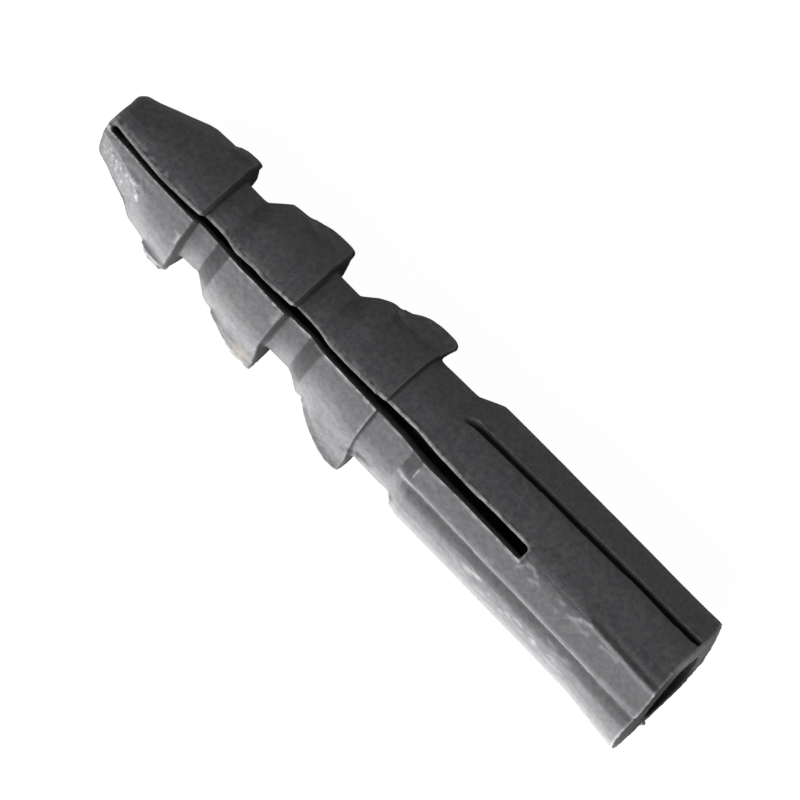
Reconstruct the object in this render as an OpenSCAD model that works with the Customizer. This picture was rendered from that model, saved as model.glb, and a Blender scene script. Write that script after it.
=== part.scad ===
// Plastic wall plug, moulded in one piece: a fluted barrel at the mouth, and in
// front of it two legs with three barbed teeth, parted by one long slot.
// The axis runs along X, the centre of the mouth is the origin and the tip
// points to -X. The plug lies on one of the flats of its section.

/* [Barrel] */
// Length of the barrel, from the mouth to the top of its shoulder
barrel_l = 15.85; // [12:0.05:20]
// Width of the barrel at its shoulder
barrel_d = 7.7; // [7.2:0.05:8]
// Width of the barrel at the mouth
mouth_d = 8; // [7.8:0.05:8.6]
// Length of the flare at the mouth
flare_l = 3.5; // [2:0.1:6]
// Length of the shoulder's slope
shoulder_l = 1.3; // [0.8:0.05:2]

/* [Flutes] */
// Width of a flute
flute_w = 0.42; // [0.3:0.01:0.7]
// Depth of a flute below the barrel's shoulder
flute_depth = 0.6; // [0.3:0.05:0.8]
// Angle of each flute from the middle of its pair
flute_angle = 38; // [30:1:42]
// Turn of both pairs of flutes from the slot
flute_turn = 4; // [0:1:10]
// Angle at which the flutes of a pair spread towards the mouth
flute_splay = 0.9; // [0:0.1:1.5]

/* [Necks] */
// Length of the neck in front of the barrel
rear_neck_l = 2.6; // [1.5:0.05:4]
// Width of the neck in front of the barrel
rear_neck_d = 6.5; // [5.8:0.05:6.8]
// Length of the neck in front of the rear tooth
middle_neck_l = 1.6; // [1:0.05:3]
// Width of the neck in front of the rear tooth
middle_neck_d = 5.15; // [4.6:0.05:5.8]
// Length of the neck behind the front tooth
front_neck_l = 1.35; // [1:0.05:3]
// Width of the neck behind the front tooth
front_neck_d = 5; // [4.6:0.05:5.8]

/* [Teeth] */
// Width of a tooth at its rear step
crest_d = 7.05; // [6.7:0.05:7.3]
// Width of the rear and middle teeth where their slope ends
brow_d = 6.5; // [6:0.05:6.7]
// Length of the rear tooth behind its slope
rear_crest_l = 4.05; // [3.8:0.05:6]
// Length of the rear tooth's slope
rear_slope_l = 1.15; // [0.6:0.05:2]
// Length of the middle tooth behind its slope
middle_crest_l = 4.05; // [3.5:0.05:6]
// Length of the middle tooth's slope
middle_slope_l = 1; // [0.6:0.05:2]
// Length of the front tooth behind the nose
front_crest_l = 3.1; // [2.4:0.05:5]
// Length along the axis of the steps at the back of the front and middle teeth
step_l = 0.2; // [0.05:0.05:0.4]

/* [Nose] */
// Length of the tapered nose
nose_l = 3.95; // [2.5:0.05:6]
// Width of the nose where the front tooth begins
nose_w = 6.3; // [5.8:0.05:6.7]
// Height of the nose where the front tooth begins
nose_h = 6.6; // [6:0.05:6.8]
// Width of the tip
tip_w = 3.6; // [3:0.05:4.4]
// Height of the tip
tip_h = 4; // [3.4:0.05:4.6]
// Size of the rounding round the tip
tip_round = 0.35; // [0.1:0.05:0.6]

/* [Fins] */
// Width over the rear fins
rear_fin_d = 8.9; // [7.8:0.05:9.6]
// Length of a rear fin
rear_fin_l = 3.6; // [2.5:0.05:3.8]
// Width over the middle fins
middle_fin_d = 7.95; // [7.6:0.05:9]
// Length of a middle fin
middle_fin_l = 3.2; // [2:0.05:3.4]
// Width over the front fins
front_fin_d = 7.35; // [7.3:0.05:8.4]
// Length of a front fin
front_fin_l = 1.75; // [1.2:0.05:2.3]
// Thickness of a fin at its root
fin_root_t = 1.8; // [1.2:0.05:2.4]
// Thickness of a fin along its edge
fin_edge_t = 0.7; // [0.4:0.05:1.1]
// Size of the rounding at a fin's rear corner
fin_round = 0.4; // [0.1:0.05:0.6]

/* [Slot and bore] */
// Width of the slot at the tip
slot_tip_w = 0.4; // [0.2:0.01:0.6]
// Width of the slot where the nose ends, its narrowest place
slot_nose_w = 0.28; // [0.2:0.01:0.5]
// Width of the slot at its rear end
slot_end_w = 0.82; // [0.5:0.01:1.2]
// Length of the closed barrel between the slot and the mouth
closed_l = 9.5; // [6:0.1:11]
// Thickness of the web that holds the two legs together at the tip
web_t = 0.4; // [0.2:0.05:0.6]
// Diameter of the bore for the screw
bore_d = 3.9; // [3.2:0.05:4.4]
// Length of the straight bore
bore_l = 13; // [8:0.1:14]
// Length of the cone that narrows the bore
cone_l = 5; // [2:0.1:8]
// Diameter of the narrow bore between the legs
core_d = 1.9; // [1.2:0.05:2.4]
// Length of the solid nose in front of the narrow bore
solid_l = 4.6; // [3:0.1:8]

/* [Section] */
// Slope of the flats beside the ridges above and below
flat_tilt = 20; // [14:1:24]
// How much less the plug measures over its ridges than over its round sides
ridge_drop = 0.25; // [0:0.05:0.6]

/* [Hidden] */
$fn = 64;
// Chords along each round side of the section, and along each curve of a fin
side_steps = 14;
fin_steps = 8;
// How far a cut reaches past what it cuts
past = 1;
// How far a fin's leading edge runs before it bends to its full width
fin_bend = 0.45;
// How much deeper than the tooth's surface a fin is rooted
fin_bury = 0.5;
// Chamfer of the corners at the slot's rear end
slot_chamfer = 0.12;

// Places along the axis, from the mouth to the tip
x_shoulder = -barrel_l;
x_rear_neck = x_shoulder - shoulder_l;
x_rear_step = x_rear_neck - rear_neck_l;
x_rear_brow = x_rear_step - rear_crest_l;
x_middle_neck = x_rear_brow - rear_slope_l;
x_middle_step = x_middle_neck - middle_neck_l;
x_middle_brow = x_middle_step - middle_crest_l;
x_front_neck = x_middle_brow - middle_slope_l;
x_front_step = x_front_neck - front_neck_l;
x_nose = x_front_step - front_crest_l;
x_tip = x_nose - nose_l;

flute_floor_r = barrel_d / 2 - flute_depth;

// A point along the straight edge of the tip's taper, behind its rounding
function nose_at(from_tip, tip, rear) = tip + (rear - tip) * from_tip / nose_l;

// Height over the ridges where the plug is this wide
function ridged(width) = width - ridge_drop;

// Place, width and height of each ring of the body, from the tip to the mouth
stations = [
    [x_tip, tip_w - 2 * tip_round, tip_h - 2 * tip_round],
    [x_tip + tip_round * (1 - cos(45)),
     tip_w - 2 * tip_round * (1 - sin(45)),
     tip_h - 2 * tip_round * (1 - sin(45))],
    [x_tip + tip_round, nose_at(tip_round, tip_w, nose_w), nose_at(tip_round, tip_h, nose_h)],
    [x_nose, nose_w, nose_h],
    [x_front_step, crest_d, ridged(crest_d)],
    [x_front_step + step_l, front_neck_d, ridged(front_neck_d)],
    [x_front_neck, front_neck_d, ridged(front_neck_d)],
    [x_middle_brow, brow_d, ridged(brow_d)],
    [x_middle_step, crest_d, ridged(crest_d)],
    [x_middle_step + step_l, middle_neck_d, ridged(middle_neck_d)],
    [x_middle_neck, middle_neck_d, ridged(middle_neck_d)],
    [x_rear_brow, brow_d, ridged(brow_d)],
    [x_rear_step, crest_d, ridged(crest_d)],
    [x_rear_step, rear_neck_d, ridged(rear_neck_d)],
    [x_rear_neck, rear_neck_d, ridged(rear_neck_d)],
    [x_shoulder, barrel_d, ridged(barrel_d)],
    [-flare_l, barrel_d, ridged(barrel_d)],
    [0, mouth_d, ridged(mouth_d)]
];

// Points of one ring: a ridge above and below, a flat on each side of both
// ridges, and round sides that run into the flats
function ring(place, width, height) =
    let (a = flat_tilt,
         w = width / 2,
         h = height / 2,
         r = (h * cos(a) - w * sin(a)) / (1 - sin(a)),
         side = [for (i = [0:side_steps]) let (b = a + i * (180 - 2 * a) / side_steps)
                 [w - r + r * sin(b), r * cos(b)]])
    concat([[place, 0, h]], [for (p = side) [place, p[0], p[1]]],
           [[place, 0, -h]], [for (p = side) [place, -p[0], -p[1]]]);

// The outer form, lofted from ring to ring
module body() {
    count = 2 * (side_steps + 2);
    last = len(stations) - 1;
    points = [for (s = stations) each ring(s[0], s[1], s[2])];
    sides = [for (k = [0:last - 1], i = [0:count - 1]) let (j = (i + 1) % count)
             [k * count + i, k * count + j, (k + 1) * count + j, (k + 1) * count + i]];
    tip_cap = [for (i = [count - 1:-1:0]) i];
    mouth_cap = [for (i = [0:count - 1]) last * count + i];
    polyhedron(points, concat(sides, [tip_cap, mouth_cap]));
}

// A quadratic curve from a to c that leans towards b
function curve(a, b, c) =
    [for (i = [0:fin_steps]) let (t = i / fin_steps)
     (1 - t) * (1 - t) * a + 2 * t * (1 - t) * b + t * t * c];

// One fin: a plan with a bent leading edge, thinned from its root to its edge
module fin(x_back, length, width) {
    reach = width / 2;
    root = crest_d / 2;
    foot = root - fin_bury;
    x_front = x_back - length;
    x_apex = x_back - fin_round;
    x_bend = x_front + (x_apex - x_front) * fin_bend;
    intersection() {
        linear_extrude(fin_root_t, center = true)
            polygon(concat(
                [[x_front, foot]],
                curve([x_front, root - fin_bury / 3], [x_bend, reach], [x_apex, reach]),
                curve([x_apex, reach], [x_back, reach], [x_back, reach - fin_round]),
                [[x_back, foot]]));
        translate([x_front, 0, 0]) rotate([90, 0, 90]) linear_extrude(length)
            polygon([[foot, -fin_root_t / 2], [root, -fin_root_t / 2], [reach, -fin_edge_t / 2],
                     [reach, fin_edge_t / 2], [root, fin_root_t / 2], [foot, fin_root_t / 2]]);
    }
}

// The fins of all three teeth, alike on both sides
module fins() {
    for (side = [0, 1]) mirror([0, side, 0]) {
        fin(x_rear_step, rear_fin_l, rear_fin_d);
        fin(x_middle_step, middle_fin_l, middle_fin_d);
        fin(x_front_step, front_fin_l, front_fin_d);
    }
}

// The slot goes right through from above, and widens from the nose to its end
module slot() {
    x_end = -closed_l;
    plan = [[x_tip + web_t, slot_tip_w / 2], [x_nose, slot_nose_w / 2],
            [x_end - slot_chamfer, slot_end_w / 2], [x_end, slot_end_w / 2 - slot_chamfer]];
    linear_extrude(mouth_d + 2 * past, center = true)
        polygon(concat(plan, [for (i = [len(plan) - 1:-1:0]) [plan[i][0], -plan[i][1]]]));
}

// The bore takes the screw at the mouth and narrows between the legs
module bore() {
    x_solid = x_tip + solid_l;
    translate([past, 0, 0]) rotate([0, -90, 0]) cylinder(d = bore_d, h = bore_l + past);
    translate([-bore_l, 0, 0]) rotate([0, -90, 0]) cylinder(d1 = bore_d, d2 = core_d, h = cone_l);
    translate([x_solid, 0, 0]) rotate([0, 90, 0]) cylinder(d = core_d, h = -bore_l - cone_l - x_solid + past);
}

// One flute: a narrow groove with a round floor, open at the mouth
module flute(angle, splay) {
    length = barrel_l + shoulder_l + past;
    rotate([-angle, 0, 0]) translate([x_rear_neck, 0, flute_floor_r + flute_w / 2]) rotate([0, 0, splay]) {
        rotate([0, 90, 0]) cylinder(d = flute_w, h = length);
        translate([0, -flute_w / 2, 0]) cube([length, flute_w, flute_depth + past]);
    }
}

// A pair above and a pair below, spread on both sides of the slot
module flutes() {
    for (half = [0, 180], way = [-1, 1])
        flute(half + flute_turn + way * flute_angle, way * flute_splay);
}

// The whole plug, turned about its axis until one flat faces down
module wall_plug() {
    color("dimgray") rotate([flat_tilt, 0, 0]) difference() {
        union() {
            body();
            fins();
        }
        slot();
        bore();
        flutes();
    }
}

wall_plug();
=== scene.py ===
import math

import bmesh
import bpy
import numpy as np
from mathutils import Matrix, Vector, noise


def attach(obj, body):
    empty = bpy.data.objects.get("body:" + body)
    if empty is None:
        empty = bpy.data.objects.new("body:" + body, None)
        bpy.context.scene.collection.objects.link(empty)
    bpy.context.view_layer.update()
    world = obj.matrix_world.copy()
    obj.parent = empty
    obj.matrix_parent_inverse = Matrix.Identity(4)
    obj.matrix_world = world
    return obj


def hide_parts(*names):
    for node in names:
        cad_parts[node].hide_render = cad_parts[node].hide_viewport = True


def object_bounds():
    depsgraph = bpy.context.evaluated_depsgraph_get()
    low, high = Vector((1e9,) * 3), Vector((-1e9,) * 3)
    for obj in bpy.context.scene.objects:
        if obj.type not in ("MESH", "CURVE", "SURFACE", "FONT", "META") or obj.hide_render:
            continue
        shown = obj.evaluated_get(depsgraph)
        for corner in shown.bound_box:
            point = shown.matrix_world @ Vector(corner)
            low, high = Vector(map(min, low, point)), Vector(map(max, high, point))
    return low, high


mm = 0.001
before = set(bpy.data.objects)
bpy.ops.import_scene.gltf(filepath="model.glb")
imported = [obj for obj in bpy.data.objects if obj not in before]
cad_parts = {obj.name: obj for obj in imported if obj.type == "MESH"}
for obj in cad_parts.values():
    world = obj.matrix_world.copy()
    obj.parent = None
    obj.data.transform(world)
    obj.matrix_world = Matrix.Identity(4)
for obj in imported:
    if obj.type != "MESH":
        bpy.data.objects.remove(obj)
cadLow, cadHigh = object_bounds()
print("frame loaded")

# Shaping is done in the plug's own section frame, in mm: x along the axis with the mouth
# at 0 and the tip at -40, u across the slot and v up along it. The plug lies turned by this much.
sectionTilt = math.radians(20)
toSection = Matrix.Rotation(-sectionTilt, 4, "X") @ Matrix.Scale(1 / mm, 4)
toWorld = toSection.inverted()


def srgb(hexColour):
    # sRGB hex to linear
    channels = [int(hexColour[i:i + 2], 16) / 255 for i in (1, 3, 5)]
    linear = [c / 12.92 if c <= 0.04045 else ((c + 0.055) / 1.055) ** 2.4 for c in channels]
    return (*linear, 1.0)


def addNode(tree, kind, settings=None, links=None):
    # adds a node, sets its sockets or properties and links other nodes' outputs to it
    node = tree.nodes.new(kind)
    for name, value in (settings or {}).items():
        if isinstance(name, int) or name in node.inputs:
            node.inputs[name].default_value = value
        else:
            setattr(node, name, value)
    for name, source in (links or {}).items():
        tree.links.new(source, node.inputs[name])
    return node


def smoothStep(values, start, end):
    t = np.clip((values - start) / (end - start), 0, 1)
    return t * t * (3 - 2 * t)


def hump(values, centre, reach):
    # 1 at the centre, 0 from reach on
    return 1 - smoothStep(np.abs(values - centre), 0, reach)


def along(places, table):
    # a value read from pairs of place and value
    xs, values = zip(*table)
    return np.interp(places, xs, values)


def applyModifiers(piece):
    graph = bpy.context.evaluated_depsgraph_get()
    made = bpy.data.meshes.new_from_object(piece.evaluated_get(graph))
    old = piece.data
    piece.modifiers.clear()
    piece.data = made
    bpy.data.meshes.remove(old)


def remesh(piece, voxel, rounds):
    # one even closed skin over everything that the mesh holds, edges softened by smoothing
    skin = piece.modifiers.new("skin", "REMESH")
    skin.mode = "VOXEL"
    skin.voxel_size = voxel
    if rounds:
        soften = piece.modifiers.new("soften", "SMOOTH")
        soften.factor = 0.5
        soften.iterations = rounds
    applyModifiers(piece)


def vertexVectors(mesh, name):
    # every vertex's place ("co") or normal
    flat = np.empty(len(mesh.vertices) * 3, np.float32)
    mesh.vertices.foreach_get(name, flat)
    return flat.reshape(-1, 3).astype(float)


def setCoordinates(mesh, points):
    mesh.vertices.foreach_set("co", points.astype(np.float32).ravel())
    mesh.update()


def roughness(points, size, seed):
    # smooth noise between about -1 and 1, one value for each point
    offset = Vector((seed * 7.3, seed * 3.1, seed * 5.7))
    return np.array([noise.noise(Vector(p) / size + offset) for p in points.tolist()])


def awayFrom(points, place):
    return np.linalg.norm(points - np.array(place), axis=1)


def fromTopPlace(points, place):
    # distance from a place given by x and u, as seen from above. The lower side is out of reach
    farOff = 9 * (points[:, 2] < -0.3)
    return np.hypot(points[:, 0] - place[0], points[:, 1] - place[1]) + farOff


moulding = {
    "node": "wall_plug",
    "voxel": 0.075,         # remesh step, fine enough for the slot's narrowest place
    "quickVoxel": 0.11,
    "smoothing": 2,         # rounds of smoothing, which give the moulded edges their radius
    "triangles": 190000,
    "slot": ((-39.6, 0.2), (-36.05, 0.14), (-9.5, 0.41)),   # place and half width
    "slotEnd": -9.5,
    "ridgeDrop": 0.125,     # how much lower the section's ridges are than its round sides are wide
    "teeth": ((-36.05, 3.15), (-32.95, 3.52), (-30.6, 3.25), (-26.55, 3.52),   # place and half width
              (-23.8, 3.25), (-19.75, 3.52)),
    "fins": ((-32.95, 1.75, 3.675), (-26.55, 3.2, 3.975), (-19.75, 3.6, 4.45)),     # rear end, length, reach
}


def copyOfNode(node):
    # the CAD node's mesh, merged and turned to the section frame
    bm = bmesh.new()
    bm.from_mesh(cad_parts[node].data)
    bmesh.ops.remove_doubles(bm, verts=bm.verts, dist=1e-7)
    bm.transform(toSection)
    return bm


def sideCircle(w):
    # centre and radius of the section's round sides, where it is half as wide as this
    sine, cosine = math.sin(sectionTilt), math.cos(sectionTilt)
    r = ((w - moulding["ridgeDrop"]) * cosine - w * sine) / (1 - sine)
    return w - r, r


# The corner between a tooth's round side and its left fin, which is filled
finWeb = {
    "apex": 0.4,            # how far in front of its rear end the fin stands out fully
    "bend": 0.45,           # where its edge bends, from its front to there
    "root": 3.36,           # where its edge leaves the tooth
    "short": 0.08,          # how much less it stands out at its rear end
    "curve": 9,             # places along its edge
    "least": 0.03,          # places where it stands out less than this get no web
    "top": 0.3,             # heights of its edge
    "bottom": -0.1,
    "inside": (0.6, 0.3),   # a point within the tooth, in radii of its round side
}


def addFinWeb(bm, back, length, reach):
    front, apex = back - length, back - finWeb["apex"]
    bend = front + (apex - front) * finWeb["bend"]
    outline = [(back, reach - finWeb["short"])]
    for t in np.linspace(0, 1, finWeb["curve"]):
        outline.append(((1 - t) ** 2 * front + 2 * t * (1 - t) * bend + t * t * apex,
                        (1 - t) ** 2 * finWeb["root"] + (2 * t - t * t) * reach))
    top, bottom = finWeb["top"], finWeb["bottom"]
    deep, high = finWeb["inside"]
    corners = []
    for x, edge in outline:
        width = along(x, moulding["teeth"])
        if edge < width + finWeb["least"]:
            continue
        centre, side = sideCircle(width)
        # where the line from the fin's edge touches the round side
        angle = math.atan2(top, edge - centre) + math.acos(side / math.hypot(edge - centre, top))
        touch = (-centre - side * math.cos(angle), side * math.sin(angle))
        for u, v in ((-edge, top), (-edge, bottom), touch, (-centre - deep * side, high * side)):
            corners.append(bm.verts.new((x, u, v)))
    bmesh.ops.convex_hull(bm, input=corners)
    bmesh.ops.delete(bm, geom=[vert for vert in corners if not vert.link_faces], context="VERTS")


# Flash and burrs at the parting line and the mouth: place, half sizes along x, u and v, roughness
flash = {
    "lumps": (
        ((-33.70, -3.50, -0.05), (0.95, 0.36, 0.26), 0.10),
        ((-32.98, -3.40, 0.05), (0.30, 0.24, 0.24), 0.08),
        ((-27.45, -3.92, -0.05), (0.85, 0.17, 0.20), 0.05),
        ((-26.72, -3.90, 0.00), (0.32, 0.24, 0.22), 0.05),
        ((-19.95, -3.74, 0.10), (0.24, 0.34, 0.22), 0.05),
        ((-16.20, -3.58, 0.25), (0.34, 0.12, 0.24), 0.05),
        ((-15.60, -3.70, 0.20), (0.40, 0.12, 0.26), 0.05),
        ((-0.25, -3.55, 0.55), (0.22, 0.20, 0.40), 0.07),
        ((0.09, -2.12, -0.45), (0.21, 0.13, 0.15), 0.04),
    ),
    "bumps": 2.6,           # how many bumps a lump has across
}


def addLump(bm, place, sizes, rough, seed):
    # a small rough lump, sunk into the moulding's edge
    made = bmesh.ops.create_icosphere(bm, subdivisions=4, radius=1)
    for vert in made["verts"]:
        swell = 1 + rough / min(sizes) * noise.noise(vert.co * flash["bumps"] + Vector((seed, 0, 0)))
        vert.co = Vector(place) + Vector([c * s * swell for c, s in zip(vert.co, sizes)])


body = copyOfNode(moulding["node"])
for fin in moulding["fins"]:
    addFinWeb(body, *fin)
for seed, lump in enumerate(flash["lumps"]):
    addLump(body, *lump, seed)
mesh = bpy.data.meshes.new("plug_moulding")
body.to_mesh(mesh)
body.free()
plug = bpy.data.objects.new("plug_moulding", mesh)
bpy.context.scene.collection.objects.link(plug)
voxel = moulding["voxel"]
remesh(plug, voxel, 0)
print("first skin:", len(plug.data.polygons), "faces")

# The barrel's flutes, by angle from the top of the slot, in degrees: the one on the right of
# the slot is a deep slit, the one on the left a step whose floor rises outwards again
flutes = {
    "start": -17.15,
    "inner": 2.9,                   # what lies nearer to the axis isn't moved
    "slit": ((-17.15, 42), (0, 46)),
    "slitDeeper": 1.35,
    "slitHalf": 3.1,                # half width of the slit, and how far it fades beyond
    "slitFade": 4,
    "slitTurn": 3.6,                # how far the slit is turned from where it is drawn
    "turnReach": 18,                # how far round that turn reaches, and the radii where it sets in
    "turnFrom": (2.4, 3.0),
    "slitBurr": (-0.32, -0.15),     # where a burr closes the upper slit, at the mouth
    "step": ((-17.15, -38), (-15.9, -31.2), (-3.6, -33.3), (0, -29.6)),     # the edge of its floor
    "stepDepth": 0.3,
    "stepSpan": 13,
    "stepRise": 1.6,                # power by which its floor rises
    "stepStart": (-17.1, -15.6),
    "stepWall": (-0.04, 0.025),     # share of the span that the wall at its edge takes
    "stepFill": -26,                # up to here the drawn flute is filled
    "widths": ((-17.15, 3.25), (-15.85, 3.85), (-3.5, 3.85), (0, 4.0)),     # half the width of the barrel
}


def barrelRadius(x, angle):
    # distance from the axis to the round sides at this angle
    c, r = sideCircle(along(x, flutes["widths"]))
    return c * np.sin(angle) + np.sqrt(r * r - (c * np.cos(angle)) ** 2)


def shapeFlutes(points):
    x, u, v = points.T
    half = np.where(v < 0, -1, 1)
    radius = np.hypot(u, v)
    angle = np.degrees(np.arctan2(u * half, v * half))
    outer = (radius > flutes["inner"]) & (x > flutes["start"])
    surface = barrelRadius(x, np.radians(np.abs(angle)))
    inSurface = (radius < surface) & outer
    slit = along(x, flutes["slit"])
    near = 1 - smoothStep(np.abs(angle - slit), flutes["slitHalf"], flutes["slitHalf"] + flutes["slitFade"])
    deeper = surface - (surface - radius) * (1 + (flutes["slitDeeper"] - 1) * near)
    deeper += (surface - deeper) * near * smoothStep(x, *flutes["slitBurr"]) * (v > 0)
    across = (along(x, flutes["step"]) - angle) / flutes["stepSpan"]
    rise = np.clip(1 - across, 0, 1) ** flutes["stepRise"]
    depth = flutes["stepDepth"] * rise * smoothStep(x, *flutes["stepStart"])
    before, behind = flutes["stepWall"]
    onFloor = (across > behind) & (across < 1) & outer
    onWall = (across > before) & (across <= behind) & outer & (radius < surface - depth)
    filled = (across <= before) & (angle < flutes["stepFill"]) & inSurface
    new = np.where(inSurface, deeper, radius)
    new = np.where(onFloor | onWall, surface - depth, new)
    new = np.where(filled, surface, new)
    turn = hump(angle, slit, flutes["turnReach"]) * smoothStep(radius, *flutes["turnFrom"])
    turned = angle + flutes["slitTurn"] * turn * outer
    new *= np.where(outer, barrelRadius(x, np.radians(np.abs(turned))) / surface, 1)
    turned = np.radians(turned)
    return np.stack((x, new * np.sin(turned) * half, new * np.cos(turned) * half), 1)


setCoordinates(plug.data, shapeFlutes(vertexVectors(plug.data, "co")))
remesh(plug, voxel, moulding["smoothing"])
print("second skin:", len(plug.data.polygons), "faces")

# How the real moulding differs from the drawn one, by place along the axis, in mm
form = {
    # outward on the right side, and to the right on the left side
    "right": ((-40, 0.02), (-38.7, 0.06), (-37.5, 0.11), (-36.5, 0.17), (-35.8, 0.11), (-35, 0.06),
              (-34.4, 0), (-31.9, 0), (-31, 0.12), (-30.2, 0.2), (-29.5, 0.24), (-28.9, 0.1),
              (-28, 0.05), (-26.6, 0), (-25, 0), (-24.3, 0.16), (-23.8, 0.24), (-23.3, 0.33),
              (-23, 0.3), (-22.5, 0.08), (-21.5, 0.06), (-20, 0.03), (-19.4, 0), (-17.7, 0.04),
              (-17.3, 0.07), (-16, 0.09), (-14, 0.12), (-12, 0.14), (-8, 0.18), (-5, 0.21),
              (-3.5, 0.2), (-1.5, 0.14), (0, 0.12)),
    "left": ((-40, -0.05), (-39.5, 0.1), (-39, 0.14), (-38, 0.17), (-37, 0.2), (-36.6, 0.14),
             (-36.2, 0.05), (-35.4, 0.04), (-34.6, 0), (-33, 0), (-32, 0.02), (-31.4, 0.09),
             (-30.7, 0.14), (-30.2, 0.03), (-29, 0), (-28.2, -0.04), (-27, -0.06), (-26.4, 0),
             (-25, 0.03), (-24.6, 0.1), (-23.8, 0.1), (-23.4, 0.2), (-22.5, 0.15), (-21.5, 0.08),
             (-21, 0), (-20.2, -0.06), (-19.2, -0.06), (-17.6, -0.06), (-17.1, 0), (-16.9, 0.06),
             (-16.5, -0.08), (-16.1, -0.04), (-15.6, 0), (-6, 0.01), (-3.6, 0), (-2.4, -0.08),
             (-1.2, -0.16), (0, -0.22)),
    "outer": (0.9, 2.6),        # from how far out they set in
    # both walls of the slot, to the right
    "slotRight": ((-39.6, -0.11), (-38.7, -0.15), (-37.4, -0.18), (-36.2, -0.165), (-35, -0.16),
                  (-33.8, -0.125), (-33.1, -0.07), (-32.2, -0.065), (-31.4, -0.1), (-30.6, -0.17),
                  (-29.4, -0.08), (-28.6, -0.11), (-27.4, -0.06), (-26.6, 0), (-25.4, -0.03),
                  (-24.6, -0.08), (-24.1, -0.14), (-22.2, -0.14), (-20.6, -0.09), (-20, -0.03),
                  (-18.5, 0), (-17.8, 0.02), (-17, -0.03), (-15.4, -0.03), (-13.6, -0.08),
                  (-12, -0.05), (-9.5, -0.05), (-9, 0)),
    "slotLeft": ((-39.6, -0.05), (-37.8, -0.04), (-36.5, -0.09), (-34, -0.065), (-32.4, -0.075),
                 (-31.8, -0.1), (-31, -0.06), (-30.3, -0.02), (-29.8, -0.05), (-29, 0), (-25.8, 0.01),
                 (-25, 0.06), (-24.2, 0.03), (-20.4, 0.04), (-18, 0.015), (-17.3, -0.04),
                 (-16.5, -0.05), (-15, 0), (-13.5, 0.04), (-9.5, 0.05), (-9, 0)),
    "slotShift": (-0.03, -0.07),    # and what both tables lack, right and left
    "slotWall": (0.1, 0.8),     # how far beside the slot this fades
    # edges across the plug: place, reach before and behind it, and how far it moves by u
    "edges": (
        (-32.95, 1.0, 0.9, ((-3.4, -0.05), (-2.5, 0), (-1.6, -0.1), (-0.4, -0.2), (2.3, -0.16),
                            (2.7, -0.16), (3.2, -0.27), (3.55, -0.15))),
        (-26.55, 1.0, 0.9, ((-3.6, 0.18), (-2.5, -0.06), (-0.6, -0.06), (2.4, -0.06), (2.9, -0.12),
                            (3.3, -0.12), (3.9, -0.04))),
        (-19.75, 1.0, 0.9, ((-3.6, 0.2), (-2.4, 0), (-0.6, -0.12), (2.3, -0.12), (3.2, -0.12),
                            (3.7, 0.04), (4.1, 0.2))),
        (-15.85, 1.3, 1.9, ((-2.6, 0), (-1.7, -0.37), (-0.2, -0.37), (0.2, 0))),
        (-29.75, 0.8, 1.6, ((2.6, 0), (3.1, 0.35))),
        (-23.35, 0.8, 1.8, ((2.6, 0), (3.1, 0.4))),
    ),
    "edgeWidth": 0.2,
    # steps behind the teeth: place, how much steeper they are, and how much more at the sides
    "steps": ((-32.95, 0.1, 0.08), (-26.55, 0.08, 0.15), (-19.75, -0.1, 0.1)),
    "stepSides": (2.0, 2.6),
    "stepFade": (0.02, 0.2, 1.1),   # behind a step: where this sets in, is full and has faded
    "bins": (-40.5, 0.25, 171),     # where the height beside the slot is measured: first, length, count
    "topEdge": 0.7,             # how far down the slot's upper edge reaches
    # raised lips along the slot: height, distance from it and reach, fade below the top, how far
    # they pass its end, how much they are broken up, and the size of the breaks, longer across
    "lip": {"height": 0.038, "place": 0.02, "reach": 0.24, "below": (0.12, 0.4), "past": 0.2,
            "broken": 0.5, "across": 0.2, "grain": 0.35},
    # the slot's chamfer: how much wider it is on the right and on the left
    "chamfer": {"right": 0.08, "left": -0.09, "place": 0.13, "reach": 0.16, "below": (0.2, 0.4)},
    "rightCrown": (1.1, 0.08),  # the right flats fall off towards the slot: from where, how much
    # the ridge behind the slot: rounded over this half width, sharp from where it sharpens,
    # with a crease beside its crest at the mouth, which drifts left by the last value
    "ridge": {"round": 0.8, "sharp": 0.05, "sharpens": (-6.2, -4.4), "behind": 0.3,
              "creases": (-5.2, -3.6), "crease": (0.07, 0.25, 0.42), "crest": (0.12, 0.3),
              "place": 0.03, "drifts": (-4.5, 0), "drift": 0.14},
    # the nose's left leg is roofed: where this fades, how much steeper it falls, from which edge
    "nose": {"fades": (-37.3, -35.1), "slope": 0.42, "edge": ((-39.6, 0.62), (-37, 1.15)), "reach": 1.6},
    # the teeth's left flats are crowned: slope, from where, how far, and fades along x and v
    "crown": {"slope": 0.09, "from": 1.1, "reach": 2, "ends": (-20, -19.6), "above": (0.3, 1.4)},
    # the left fins' fronts fall off with the teeth's sides: place and fall, fades along x, u and v
    "finFronts": ((-23.0, 0.42), (-29.0, 0.3)),
    "finFront": {"reach": 0.9, "out": (3.05, 3.6), "above": (0.3, 0.6)},
    "finThinner": (0.3, 3.35, 4.2, -19),    # share, from and to where out, and up to which x
    # how far the mouth stands out at its top and at its foot, and how far it is worn on the right
    "mouth": {"top": ((-4.1, 0.2), (-3.4, 0.17), (-1.6, 0.24), (-0.2, 0.16), (1.3, 0)),
              "topFrom": (-3.5, 1), "foot": 0.06, "footAcross": (-0.2, 1.0), "footUpTo": (-2.5, 1),
              "worn": 0.42, "wornAcross": (1.35, 4.2), "wornUpTo": (-1, 2.5), "from": -2},
    # the tip is roofed: shares of u on the right and left, with a squarer corner on its right
    "tip": {"right": 0.03, "left": -0.158, "fades": (-39.4, -38),
            "corner": 0.14, "cornerAcross": (1.1, 1.7), "cornerFades": (-39.7, -39)},
}


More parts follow.
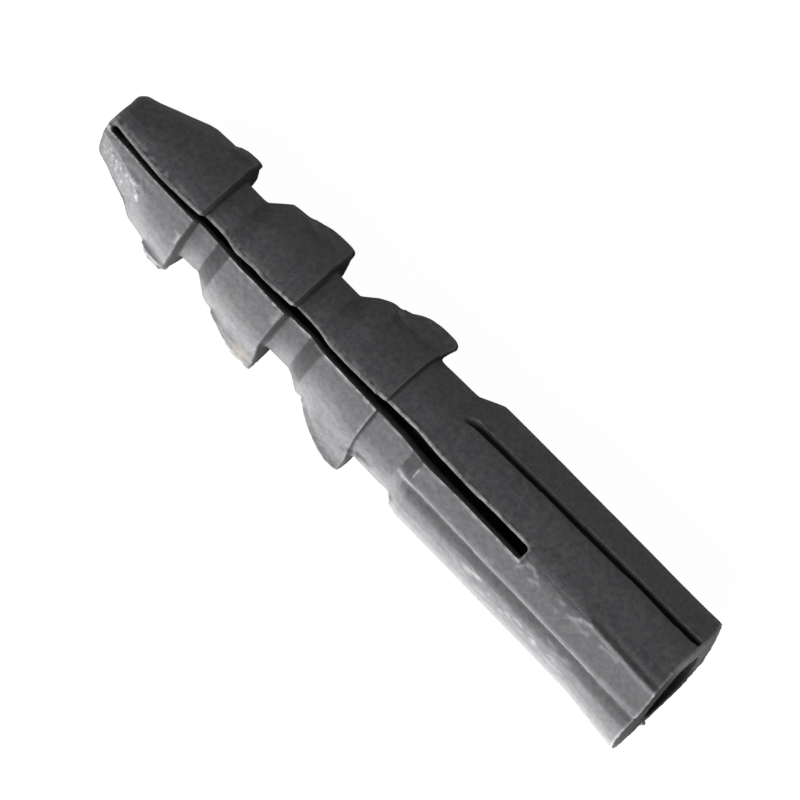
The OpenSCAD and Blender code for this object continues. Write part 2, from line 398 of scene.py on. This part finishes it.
def mouthPlace(u, v):
    # where the oblique mouth lies along x
    mouth = form["mouth"]
    worn = mouth["worn"] * smoothStep(u, *mouth["wornAcross"]) * (1 - smoothStep(v, *mouth["wornUpTo"]))
    foot = mouth["foot"] * (1 - smoothStep(u, *mouth["footAcross"])) * (1 - smoothStep(v, *mouth["footUpTo"]))
    return along(u, mouth["top"]) * smoothStep(v, *mouth["topFrom"]) + foot - worn


def shapeTops(x, u, v):
    # the slot's edges, the ridge behind it and the flats beside it
    up = np.where(v < 0, -1, 1)
    fromSlot = np.abs(u) - along(x, moulding["slot"])
    first, length, count = form["bins"]
    bins = np.clip(((x - first) / length).astype(int), 0, count - 1)
    tops = np.zeros(count)
    near = np.abs(u) < 1
    np.maximum.at(tops, bins[near], np.abs(v[near]))
    fromTop = tops[bins] - np.abs(v)
    atTop = fromTop < form["topEdge"]

    lip = form["lip"]
    broken = 1 + lip["broken"] * roughness(np.stack((x, u * lip["across"], v * 0), 1), lip["grain"], 1)
    onLip = hump(fromSlot, lip["place"], lip["reach"]) * (1 - smoothStep(fromTop, *lip["below"]))
    v += up * lip["height"] * (onLip * (x < moulding["slotEnd"] + lip["past"])) * broken
    chamfer = form["chamfer"]
    wider = np.where(u * up > 0, chamfer["right"], chamfer["left"])
    shift = np.sign(u) * wider * hump(fromSlot, chamfer["place"], chamfer["reach"])
    u += shift * (1 - smoothStep(fromTop, *chamfer["below"])) * (x < moulding["slotEnd"])
    start, fall = form["rightCrown"]
    v -= up * fall * np.clip(start - u * up, 0, 1) ** 2 * (u * up > 0) * atTop * (x < moulding["slotEnd"])

    ridge = form["ridge"]
    slope = math.tan(sectionTilt)
    b = ridge["round"] * (1 - smoothStep(x, *ridge["sharpens"])) + ridge["sharp"]
    closed = smoothStep(x, moulding["slotEnd"], moulding["slotEnd"] + ridge["behind"]) * atTop
    v -= up * closed * slope / (2 * b) * np.clip(b - np.abs(u), 0, None) ** 2
    creased = smoothStep(x, *ridge["creases"]) * atTop * up
    fromRidge = u * up + ridge["place"] + ridge["drift"] * smoothStep(x, *ridge["drifts"])
    depth, place, reach = ridge["crease"]
    height, width = ridge["crest"]
    v -= creased * depth * hump(fromRidge, place, reach)
    v += creased * height * hump(fromRidge, 0.0, width) * (up > 0)
    return u, v, fromSlot


def shapeForm(points):
    x, u, v = points.T.copy()
    right = u > 0
    u, v, fromSlot = shapeTops(x, u, v)
    nose = form["nose"]
    fore = 1 - smoothStep(x, *nose["fades"])
    beyond = np.clip(-u - along(x, nose["edge"]), 0, nose["reach"])
    v -= np.where(~right & (v > 0), fore * nose["slope"] * beyond * smoothStep(v, 0, 1), 0)
    crown = form["crown"]
    teeth = 1 - smoothStep(x, *crown["ends"])
    beyond = np.clip(-u - crown["from"], 0, crown["reach"])
    v -= np.where(~right & (v > 0), teeth * crown["slope"] * beyond * smoothStep(v, *crown["above"]), 0)
    fade = form["finFront"]
    for front, fall in form["finFronts"]:
        v -= fall * hump(x, front, fade["reach"]) * smoothStep(-u, *fade["out"]) * smoothStep(v, *fade["above"])
    share, start, end, upTo = form["finThinner"]
    v *= 1 - share * smoothStep(np.abs(u), start, end) * (x < upTo)

    near, full, faded = form["stepFade"]
    for place, steeper, more in form["steps"]:
        amount = steeper + more * smoothStep(np.abs(u), *form["stepSides"])
        x = x - amount * np.interp(x, (place + near, place + full, place + faded), (0, 1, 0))
    for place, before, behind, table in form["edges"]:
        ends = (place - before, place, place + form["edgeWidth"], place + behind)
        x = x + along(u, table) * np.interp(x, ends, (0, 1, 1, 0))
    outward = smoothStep(np.abs(u), *form["outer"])
    u += np.where(right, along(x, form["right"]), along(x, form["left"])) * outward
    wall = 1 - smoothStep(fromSlot, *form["slotWall"])
    shiftRight, shiftLeft = form["slotShift"]
    shift = np.where(right, along(x, form["slotRight"]) + shiftRight, along(x, form["slotLeft"]) + shiftLeft)
    u += shift * wall * (x < moulding["slotEnd"] + form["lip"]["past"])

    x += mouthPlace(u, v) * smoothStep(x, form["mouth"]["from"], 0)
    tip = form["tip"]
    x += (1 - smoothStep(x, *tip["fades"])) * np.where(right, tip["right"] * u, tip["left"] * u)
    x -= tip["corner"] * smoothStep(u, *tip["cornerAcross"]) * (1 - smoothStep(x, *tip["cornerFades"]))
    return np.stack((x, u, v), 1)


# Marks of the mould and of handling
marks = {
    # height, size and seed of the noise: everywhere, on the chewed left leg of the nose, on the
    # sawn-looking face of the mouth, and on the flash of the teeth and shoulder on the left
    "waves": ((0.016, 2.6, 2), (0.008, 0.7, 3)),
    "nose": (0.045, 0.3, 4),
    "noseFades": ((-36.4, -35.4), (0.5, 1.0), (-0.5, 0.6)),     # along x, -u and v
    "mouth": (0.03, 0.2, 11),
    "leftEdge": (0.035, 0.22, 5),
    "leftEdgeFades": ((-15.6, -15.0), (2.9, 3.6), (0, 1.2)),
    "pits": ((-38.65, -1.18), (-38.28, -1.18), (-37.83, -1.26), (-37.37, -1.25), (-36.24, -1.61),   # x, u
             (-36.12, -1.78), (-36.3, -1.72), (-38.95, -0.95), (-38.1, -1.6), (-37.5, -1.9)),
    "pitReach": 0.17,
    "pitHeight": 0.05,              # of the burr that fills each
    "bump": ((-0.11, 1.17, 3.57), 0.22, 0.07),      # place, reach and height
}


def shapeMarks(points, normals):
    x, u, v = points.T
    (high, size, seed), (low, fineSize, fineSeed) = marks["waves"]
    wave = high * roughness(points, size, seed) + low * roughness(points, fineSize, fineSeed)
    height, size, seed = marks["nose"]
    behind, out, above = marks["noseFades"]
    nose = (1 - smoothStep(x, *behind)) * smoothStep(-u, *out) * smoothStep(v, *above)
    wave += nose * height * roughness(points, size, seed)
    for place in marks["pits"]:
        wave += marks["pitHeight"] * hump(fromTopPlace(points, place), 0, marks["pitReach"])
    place, reach, height = marks["bump"]
    wave += height * hump(awayFrom(points, place), 0, reach)
    height, size, seed = marks["mouth"]
    wave += (normals[:, 0] > 0.5) * (x > -0.8) * height * roughness(points, size, seed)
    height, size, seed = marks["leftEdge"]
    behind, out, around = marks["leftEdgeFades"]
    leftEdge = smoothStep(-u, *out) * hump(v, *around) * (1 - smoothStep(x, *behind))
    wave += leftEdge * height * roughness(points, size, seed)
    return points + normals * wave[:, None]


setCoordinates(plug.data, shapeForm(vertexVectors(plug.data, "co")))
setCoordinates(plug.data, shapeMarks(vertexVectors(plug.data, "co"), vertexVectors(plug.data, "normal")))
print("shaped")

thin = plug.modifiers.new("thin", "DECIMATE")
thin.ratio = min(1, moulding["triangles"] / (2 * len(plug.data.polygons)))
applyModifiers(plug)
print("thinned:", len(plug.data.polygons), "faces")

# Tints that follow the surface: pale where it is worn, scuffed or burred, with painted highlights on edges and
# painted light in the slot;
# dark as painted shade in crevices, on faces turned from the light, in the slit and the bore; beige where the
# nylon is stained
tints = {
    # wear on convex edges, partly a painted highlight
    "edgeWearAndHighlight": 0.5,
    "lipHighlight": 0.9,         # painted highlight along the slot's lips
    "rimHighlight": 0.8,         # painted highlight along the mouth's rim
    "stepHighlight": 0.6,        # painted highlight along the edge of the left flute
    "noseSpeckle": 0.6,
    # painted light on the slot's walls, lifting their shade
    "slotWallLight": 0.45,
    "lumpPale": 0.5,        # on the flash, with darker patches
    "lumpDark": 0.7,
    "pitPale": 1.5,
    "scuffPale": 1.3,
    # place, and reach along and across
    "scuffs": (((-5.0, -2.4, 2.9), (1.4, 0.3)), ((-10.5, -2.6, 2.8), (2.0, 0.25)),
               ((-8.5, -3.0, 2.0), (7.0, 0.35))),
    # scratches, and painted glints on the teeth's crests, the shoulder and the tip: ends in x and u, half width
    # and strength
    "scratchesAndGlints": ((-9.35, -0.75, -8.84, -0.05, 0.09, 0.6), (-8.84, -0.06, -8.55, -0.26, 0.09, 0.6),
                  (-8.5, -0.3, -7.88, -0.66, 0.1, 0.7), (-8.5, -0.6, -8.25, -0.85, 0.08, 0.5),
                  (-6.65, -0.3, -6.4, -0.38, 0.15, 0.6), (-6.5, -0.85, -6.3, -0.95, 0.1, 0.4),
                  (-5.72, -0.65, -5.15, -0.3, 0.11, 0.5), (-5.2, -0.3, -4.5, -0.08, 0.13, 0.5),
                  (-4.5, -0.62, -3.7, -0.5, 0.11, 0.5), (-3.7, -0.5, -2.4, -0.42, 0.09, 0.4),
                  (-5.0, -0.75, -4.5, -0.62, 0.09, 0.4), (-39.9, -0.25, -39.75, 0.25, 0.25, 0.6),
                  (-16.26, -0.95, -16.26, -1.34, 0.09, 0.9), (-33.22, -1.4, -33.2, -1.9, 0.1, 0.9),
                  (-26.78, -0.5, -26.75, -1.1, 0.09, 0.5), (-19.95, -0.3, -19.9, -1.9, 0.08, 0.4)),
    "burr": ((0.3, -2.15, -0.45), 0.8),     # pale tip of the mouth's burr: place and strength
    # place, reach and strength
    "beige": (((-27.24, -3.61, 0.5), 0.8, 0.7), ((0.2, -2.15, -0.45), 0.45, 0.7),
              ((0.1, -3.2, -0.3), 0.9, 0.4)),
    # painted shade in the crevices by the left fins and under the necks' edges: x, u, reach and strength
    "dark": ((-19.62, -3.05, 0.3, 1), (-19.95, -3.25, 0.13, 0.9), (-20.1, -3.25, 0.11, 0.8),
             (-19.2, -2.9, 0.3, 0.9), (-18.85, -2.87, 0.3, 0.85), (-18.45, -2.9, 0.26, 0.6),
             (-16.5, -3.25, 0.3, 0.6), (-33.2, -3.75, 0.3, 0.8)),
    "rearFaceShade": 0.6,       # painted shade on the faces behind the teeth, which face away from the light
    "rampShade": (0.55, 0.12),  # painted shade on the slopes that face the tip, left and right
    # painted shade inside the slit
    "slit": 0.2,
    "slitEdgeShade": (0.35, 4.6, 2),     # painted shade beside its edge: strength, degrees away and reach
    "mouth": ((-3.9, 0.3), (-2.9, 0.7), (-0.5, 0.7), (1.8, 0)),     # painted shade on the mouth's face, by u
    # painted shade inside the bore, by u
    "bore": ((0.6, 1), (1.6, 0.7)),
    "boreEnd": -12,
}


def store(mesh, name, values):
    layer = mesh.attributes.new(name, "FLOAT", "POINT")
    layer.data.foreach_set("value", np.clip(values, 0, 1).astype(np.float32))


def convexity(mesh, points, normals):
    # how far each vertex stands out from the middle of its neighbours, against the edge length
    ends = np.empty(len(mesh.edges) * 2, np.int32)
    mesh.edges.foreach_get("vertices", ends)
    a, b = ends.reshape(-1, 2).T
    total, count, length = np.zeros_like(points), np.zeros(len(points)), np.zeros(len(points))
    size = np.linalg.norm(points[a] - points[b], axis=1)
    for one, other in ((a, b), (b, a)):
        np.add.at(total, one, points[other])
        np.add.at(count, one, 1)
        np.add.at(length, one, size)
    middle = total / count[:, None]
    value = np.einsum("ij,ij->i", points - middle, normals) / (length / count)
    for turn in range(3):
        spread = value.copy()
        np.add.at(spread, a, value[b])
        np.add.at(spread, b, value[a])
        value = spread / (count + 1)
    return value


def onLumps(points):
    # 1 on the lumps of flash, 0 away from them
    share = np.zeros(len(points))
    for place, sizes, rough in flash["lumps"]:
        distance = awayFrom(points / np.array(sizes), np.array(place) / np.array(sizes))
        share = np.maximum(share, 1 - smoothStep(distance, 0.9, 1.5))
    return share


def onScratchesAndGlints(points, fine):
    x, u, v = points.T
    total = np.zeros(len(points))
    for ax, au, bx, bu, width, strength in tints["scratchesAndGlints"]:
        part = np.clip(((x - ax) * (bx - ax) + (u - au) * (bu - au)) / ((bx - ax) ** 2 + (bu - au) ** 2), 0, 1)
        distance = np.hypot(x - ax - part * (bx - ax), u - au - part * (bu - au))
        total += strength * (1 - smoothStep(distance, 0.4 * width, width)) * (v > 1.5) * (0.5 + fine)
    return total


points, normals = vertexVectors(plug.data, "co"), vertexVectors(plug.data, "normal")
x, u, v = points.T
angle = np.degrees(np.arctan2(u * np.sign(v), np.abs(v)))
radius = np.hypot(u, v)
inSlotPart = x < moulding["slotEnd"] + 0.1
onMouth = smoothStep(normals[:, 0], 0.5, 0.8) * (x > -0.8)
lumps = onLumps(points)
patchy = 0.5 + 0.5 * roughness(points, 0.5, 6)
fine = 0.5 + 0.5 * roughness(points, 0.22, 9)

# worn edges with painted highlight on them, and scuffs that run along the barrel
pale = tints["edgeWearAndHighlight"] * smoothStep(convexity(plug.data, points, normals), 0.03, 0.16) * (0.5 + patchy)
streak = roughness(points * np.array((0.25, 1, 1)), 0.16, 7)
for (cx, cu, cv), (reach, width) in tints["scuffs"]:
    scuff = hump(x, cx, reach) * hump(u, cu, width) * (np.abs(v - cv) < 0.6)
    pale += tints["scuffPale"] * scuff * smoothStep(streak, 0, 0.5)
# burred pits and flash
for place in marks["pits"]:
    pale += tints["pitPale"] * patchy * hump(fromTopPlace(points, place), 0, marks["pitReach"])
pale += tints["lumpPale"] * lumps * (0.4 + patchy)
# painted highlight along the slot's lips, and scratches with painted glints
onFlats = (normals[:, 2] * np.sign(v) > 0.6) & inSlotPart
fromSlot = np.abs(u) - along(x, moulding["slot"])
pale += tints["lipHighlight"] * hump(fromSlot, 0.08, 0.22) * onFlats * smoothStep(fine, 0.25, 0.7)
pale += onScratchesAndGlints(points, fine)
# painted highlight along the mouth's rim, the right of its face made paler, and the pale tip of its burr
rim = hump(x - mouthPlace(u, v), -0.03, 0.16) * (1 - onMouth) * (radius > 3)
pale += tints["rimHighlight"] * rim * (0.4 + fine)
pale += onMouth * smoothStep(u, 0.2, 2.0) * (0.6 + fine)
place, strength = tints["burr"]
pale += strength * hump(awayFrom(points, place), 0.1, 0.3)
# speckles on the chewed left leg of the nose, painted highlight along the left flute's edge, and painted light
# on the slot's walls
noseLeft = (1 - smoothStep(x, -36.6, -36.1)) * smoothStep(-u, 0.8, 1.3) * smoothStep(v, 0.2, 0.6)
pale += tints["noseSpeckle"] * noseLeft * smoothStep(roughness(points, 0.14, 10), 0.1, 0.5)
stepEdge = hump(angle - along(x, flutes["step"]), 2.2, 3.4) * (x > flutes["start"])
pale += tints["stepHighlight"] * stepEdge * (0.3 + fine)
pale += tints["slotWallLight"] * (np.abs(normals[:, 1]) > 0.8) * (np.abs(u) < 0.75) * inSlotPart

# painted shade in the crevices by the left fins and necks, on the slopes that face the tip, on the faces behind
# the teeth, on the mouth's face, in the bore, in the slit and beside it; and dark patches on the flash
dark = np.zeros(len(points))
for cx, cu, reach, strength in tints["dark"]:
    dark = np.maximum(dark, strength * hump(fromTopPlace(points, (cx, cu)), 0, reach))
reach = np.where(x > -18, 1.3, 2.2)
ramp = (x < -15) * (x > -36) * smoothStep(-normals[:, 0], 0.25, 0.45)
ramp *= 1 - smoothStep(np.abs(u), reach, reach + 0.5)
slitAt = flutes["slitTurn"] + along(x, flutes["slit"])
depth = barrelRadius(x, np.radians(np.abs(angle))) - radius
inSlit = (np.abs(angle - slitAt) < 8) & (x > flutes["start"]) & (depth < 1.2)
strength, away, reach = tints["slitEdgeShade"]
slitEdgeShade = hump(angle - slitAt, away, reach) * (x > flutes["start"] + 0.6) * (x < -0.6) * (depth < 0.5)
for share in (
    tints["lumpDark"] * lumps * smoothStep(roughness(points, 0.2, 8), 0.15, 0.5),
    tints["rearFaceShade"] * (x < -15) * smoothStep(normals[:, 0], 0.25, 0.6),
    np.where(u < 0, *tints["rampShade"]) * ramp,
    onMouth * along(u, tints["mouth"]) * (0.6 + 0.6 * patchy),
    (radius < 2.1) * (x > tints["boreEnd"]) * along(u, tints["bore"]),
    strength * slitEdgeShade,
    tints["slit"] * inSlit * smoothStep(depth, -0.04, 0.1),
):
    dark = np.maximum(dark, share)

beige = np.zeros(len(points))
for place, reach, strength in tints["beige"]:
    beige = np.maximum(beige, strength * hump(awayFrom(points, place), 0, reach))
for name, values in (("pale", pale), ("dark", dark * (1 - beige)), ("beige", beige)):
    store(plug.data, name, values)

plug.data.transform(toWorld)
points = vertexVectors(plug.data, "co")
points[:, 2] = np.maximum(points[:, 2], cadLow.z)   # nothing sinks into the table
setCoordinates(plug.data, points)
plug.data.polygons.foreach_set("use_smooth", [True] * len(plug.data.polygons))
print("tinted")

# Nylon, injection moulded: matte, with a fine mould texture and soft mottling
finish = {
    "ior": 1.53,
    "greys": ("#4A4B4E", "#6C6C6E"),
    # pale holds wear, scuffs and painted highlights; dark holds painted shade and dark patches on the flash
    "tints": (("pale", "#A6A7A9"), ("beige", "#8A7F66"), ("dark", "#232325")),
    "mottling": {"Scale": 3.2, "Detail": 5.0, "Roughness": 0.7},    # to the millimetre
    "texture": {"Scale": 9.0, "Detail": 4.0, "Roughness": 0.65},
    "relief": {"Strength": 0.8, "Distance": 0.00003},
    "roughness": {"To Min": 0.5, "To Max": 0.95},       # the darkened places, mostly painted shade, are the roughest
}
nylon = bpy.data.materials.new("moulded_nylon")
nylon.use_nodes = True
tree = nylon.node_tree
surface = tree.nodes["Principled BSDF"]
surface.inputs["IOR"].default_value = finish["ior"]
place = addNode(tree, "ShaderNodeTexCoord")
inMm = addNode(tree, "ShaderNodeMapping", {"Scale": (1000, 1000, 1000)}, {"Vector": place.outputs["Object"]})
mottle = addNode(tree, "ShaderNodeTexNoise", finish["mottling"], {"Vector": inMm.outputs[0]})
spread = addNode(tree, "ShaderNodeMapRange", {"From Min": 0.3, "From Max": 0.7}, {"Value": mottle.outputs[0]})
darkGrey, lightGrey = finish["greys"]
colour = addNode(tree, "ShaderNodeMixRGB", {1: srgb(darkGrey), 2: srgb(lightGrey)}, {0: spread.outputs[0]})
for name, tint in finish["tints"]:
    reader = addNode(tree, "ShaderNodeAttribute", {"attribute_name": name})
    colour = addNode(tree, "ShaderNodeMixRGB", {2: srgb(tint)}, {0: reader.outputs["Fac"], 1: colour.outputs[0]})
tree.links.new(colour.outputs[0], surface.inputs["Base Color"])
matte = addNode(tree, "ShaderNodeMapRange", finish["roughness"], {"Value": reader.outputs["Fac"]})
tree.links.new(matte.outputs[0], surface.inputs["Roughness"])
grain = addNode(tree, "ShaderNodeTexNoise", finish["texture"], {"Vector": inMm.outputs[0]})
bump = addNode(tree, "ShaderNodeBump", finish["relief"], {"Height": grain.outputs[0]})
tree.links.new(bump.outputs[0], surface.inputs["Normal"])
plug.data.materials.clear()
plug.data.materials.append(nylon)

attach(plug, "root")
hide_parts(moulding["node"])
print("plug dressed")

# Floor: white to the camera with a faint shadow, plain white paper to the light
sheet = {
    "radius": 1.5,
    "paper": 0.8,
    "white": 1.15,          # strength of what the camera sees of it
    "share": 0.85,          # the rest is lit, and shows the shadow
}
floorMesh = bpy.data.meshes.new("floor")
bm = bmesh.new()
bmesh.ops.create_circle(bm, cap_ends=True, segments=64, radius=sheet["radius"],
                        matrix=Matrix.Translation((0, 0, cadLow.z)))
bm.to_mesh(floorMesh)
bm.free()
floor = bpy.data.objects.new("floor", floorMesh)
bpy.context.scene.collection.objects.link(floor)
paper = bpy.data.materials.new("white_paper")
paper.use_nodes = True
tree = paper.node_tree
tree.nodes.remove(tree.nodes["Principled BSDF"])
rays = addNode(tree, "ShaderNodeLightPath")
share = addNode(tree, "ShaderNodeMath", {"operation": "MULTIPLY", 1: sheet["share"]},
                {0: rays.outputs["Is Camera Ray"]})
lit = addNode(tree, "ShaderNodeBsdfDiffuse", {"Color": (*[sheet["paper"]] * 3, 1)})
shown = addNode(tree, "ShaderNodeEmission", {"Color": (1, 1, 1, 1), "Strength": sheet["white"]})
mixed = addNode(tree, "ShaderNodeMixShader", None, {0: share.outputs[0], 1: lit.outputs[0], 2: shown.outputs[0]})
tree.links.new(mixed.outputs[0], tree.nodes["Material Output"].inputs["Surface"])
floor.data.materials.append(paper)

# One wide soft light on the -Y side, a glowing sheet under it on the table, a weak one behind
light = {
    "softboxes": {      # place, aimed at, size across and up, radiance
        "key": ((-0.06, -0.34, 0.2), (-0.02, 0, 0), (0.56, 0.38), 2.5),
        "table": ((-0.028, -0.034, cadLow.z + 0.0002), (-0.028, -0.034, 1), (0.07, 0.06), 3.6),
        "back": ((-0.02, 0.34, 0.14), (-0.02, 0, 0), (0.3, 0.2), 0.8),
    },
    "fill": 0.06,
}
for name, (spot, aim, size, radiance) in light["softboxes"].items():
    data = bpy.data.lights.new(name, "AREA")
    data.shape = "RECTANGLE"
    data.size, data.size_y = size
    data.energy = radiance * math.pi * size[0] * size[1]
    lamp = bpy.data.objects.new(name, data)
    lamp.location = spot
    lamp.rotation_euler = (Vector(aim) - Vector(spot)).to_track_quat("-Z", "Y").to_euler()
    lamp.visible_camera = False
    bpy.context.scene.collection.objects.link(lamp)

world = bpy.data.worlds.new("studio")
bpy.context.scene.world = world
world.use_nodes = True
tree = world.node_tree
fill = tree.nodes["Background"]
fill.inputs["Color"].default_value = (1, 1, 1, 1)
fill.inputs["Strength"].default_value = light["fill"]
seen = addNode(tree, "ShaderNodeBackground", {"Color": (1, 1, 1, 1), "Strength": 1.0})
rays = addNode(tree, "ShaderNodeLightPath")
both = addNode(tree, "ShaderNodeMixShader", None,
               {0: rays.outputs["Is Camera Ray"], 1: fill.outputs[0], 2: seen.outputs[0]})
tree.links.new(both.outputs[0], tree.nodes["World Output"].inputs["Surface"])

# Camera: a long lens nearly overhead, rolled so that the plug runs from corner to corner
camera = {
    "lens": 600,
    "place": (0.060768, -0.129924, 0.651253),
    "right": (0.691947, 0.719590, 0.058316),
    "up": (-0.711826, 0.666536, 0.221436),
    "back": (0.120473, -0.194732, 0.973430),
}
cameraData = bpy.data.cameras.new("camera")
cameraData.lens = camera["lens"]
eye = bpy.data.objects.new("camera", cameraData)
turn = Matrix((camera["right"], camera["up"], camera["back"])).transposed().to_4x4()
eye.matrix_world = Matrix.Translation(camera["place"]) @ turn
bpy.context.scene.collection.objects.link(eye)
bpy.context.scene.camera = eye
bpy.context.scene.view_settings.view_transform = "Standard"
